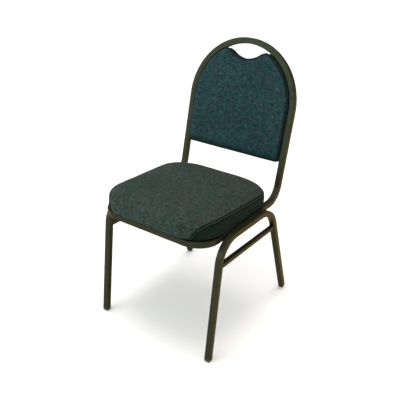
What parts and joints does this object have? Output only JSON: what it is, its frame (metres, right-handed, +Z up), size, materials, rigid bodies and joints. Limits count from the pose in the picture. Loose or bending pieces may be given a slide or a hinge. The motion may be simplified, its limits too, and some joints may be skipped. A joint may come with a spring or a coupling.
{
  "type": "stacking chair",
  "caption": "Stacking chair with a bent square-tube steel frame, round hoop back, upholstered seat and upholstered back panel with a hand-hold.",
  "frame": {"origin": "on the floor, at the middle of the chair's width and of its overall depth", "axes": "+Z up; +X to the right as seen from the front; the sitter faces -Y"},
  "size_m": [0.4584, 0.5714, 0.9169],
  "materials": {
    "frame_paint": "dark bronze vein powder coat, semi-gloss",
    "upholstery": "teal tweed with small burgundy and green flecks",
    "foam": "cut polyurethane foam, hidden",
    "plywood": "raw plywood, hidden",
    "dust_cloth": "black non-woven cloth",
    "zinc_steel": "bright zinc plate",
    "black_plastic": "moulded nylon, satin black"
  },
  "bodies": {
    "root": {"left_leg_frame": "frame_paint", "right_leg_frame": "frame_paint", "left_stretcher": "frame_paint", "right_stretcher": "frame_paint", "seat_front_rail": "frame_paint", "back_hoop": "frame_paint", "rear_cross_bar": "frame_paint", "front_left_seat_tab": "frame_paint", "front_right_seat_tab": "frame_paint", "rear_left_seat_tab": "frame_paint", "rear_right_seat_tab": "frame_paint", "lower_left_back_tab": "frame_paint", "lower_right_back_tab": "frame_paint", "upper_left_back_tab": "frame_paint", "upper_right_back_tab": "frame_paint", "seat_cover": "upholstery", "back_front_cover": "upholstery", "back_rear_cover": "upholstery", "seat_foam": "foam", "back_foam": "foam", "seat_board": "plywood", "back_board": "plywood", "seat_dust_cover": "dust_cloth", "front_left_seat_bolt": "zinc_steel", "front_right_seat_bolt": "zinc_steel", "rear_left_seat_bolt": "zinc_steel", "rear_right_seat_bolt": "zinc_steel", "front_left_tee_nut": "zinc_steel", "front_right_tee_nut": "zinc_steel", "rear_left_tee_nut": "zinc_steel", "rear_right_tee_nut": "zinc_steel", "lower_left_back_screw": "zinc_steel", "lower_right_back_screw": "zinc_steel", "upper_left_back_screw": "zinc_steel", "upper_right_back_screw": "zinc_steel", "front_left_glide": "black_plastic", "front_right_glide": "black_plastic", "rear_left_glide": "black_plastic", "rear_right_glide": "black_plastic", "front_left_stack_bumper": "black_plastic", "front_right_stack_bumper": "black_plastic", "rear_left_stack_bumper": "black_plastic", "rear_right_stack_bumper": "black_plastic"}
  },
  "joints": []
}
